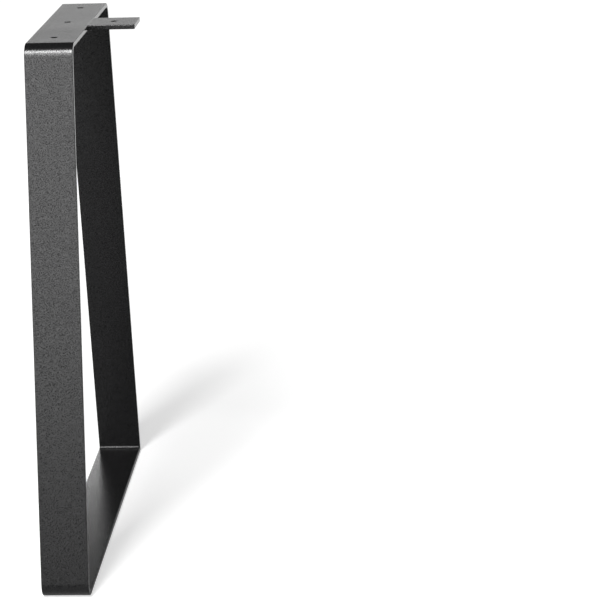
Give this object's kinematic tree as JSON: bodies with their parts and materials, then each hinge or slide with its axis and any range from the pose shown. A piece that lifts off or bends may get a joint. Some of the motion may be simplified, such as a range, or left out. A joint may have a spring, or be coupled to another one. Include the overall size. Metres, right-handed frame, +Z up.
{
  "type": "trestle table leg",
  "caption": "Trapezoid table leg bent from flat steel bar, with screw holes in its top and a welded fixing tab that holds it to a table top.",
  "frame": {"origin": "on the floor, under the middle of the bar", "axes": "+Z up to the table top, Y along the length of the foot, +X the way the fixing tab points"},
  "size_m": [0.1271, 0.5964, 0.724],
  "materials": {
    "powder_coat": "black powder coat with a fine texture and a soft sheen"
  },
  "bodies": {
    "root": {"leg_loop": "powder_coat", "fixing_tab": "powder_coat", "tab_weld": "powder_coat"}
  },
  "joints": []
}
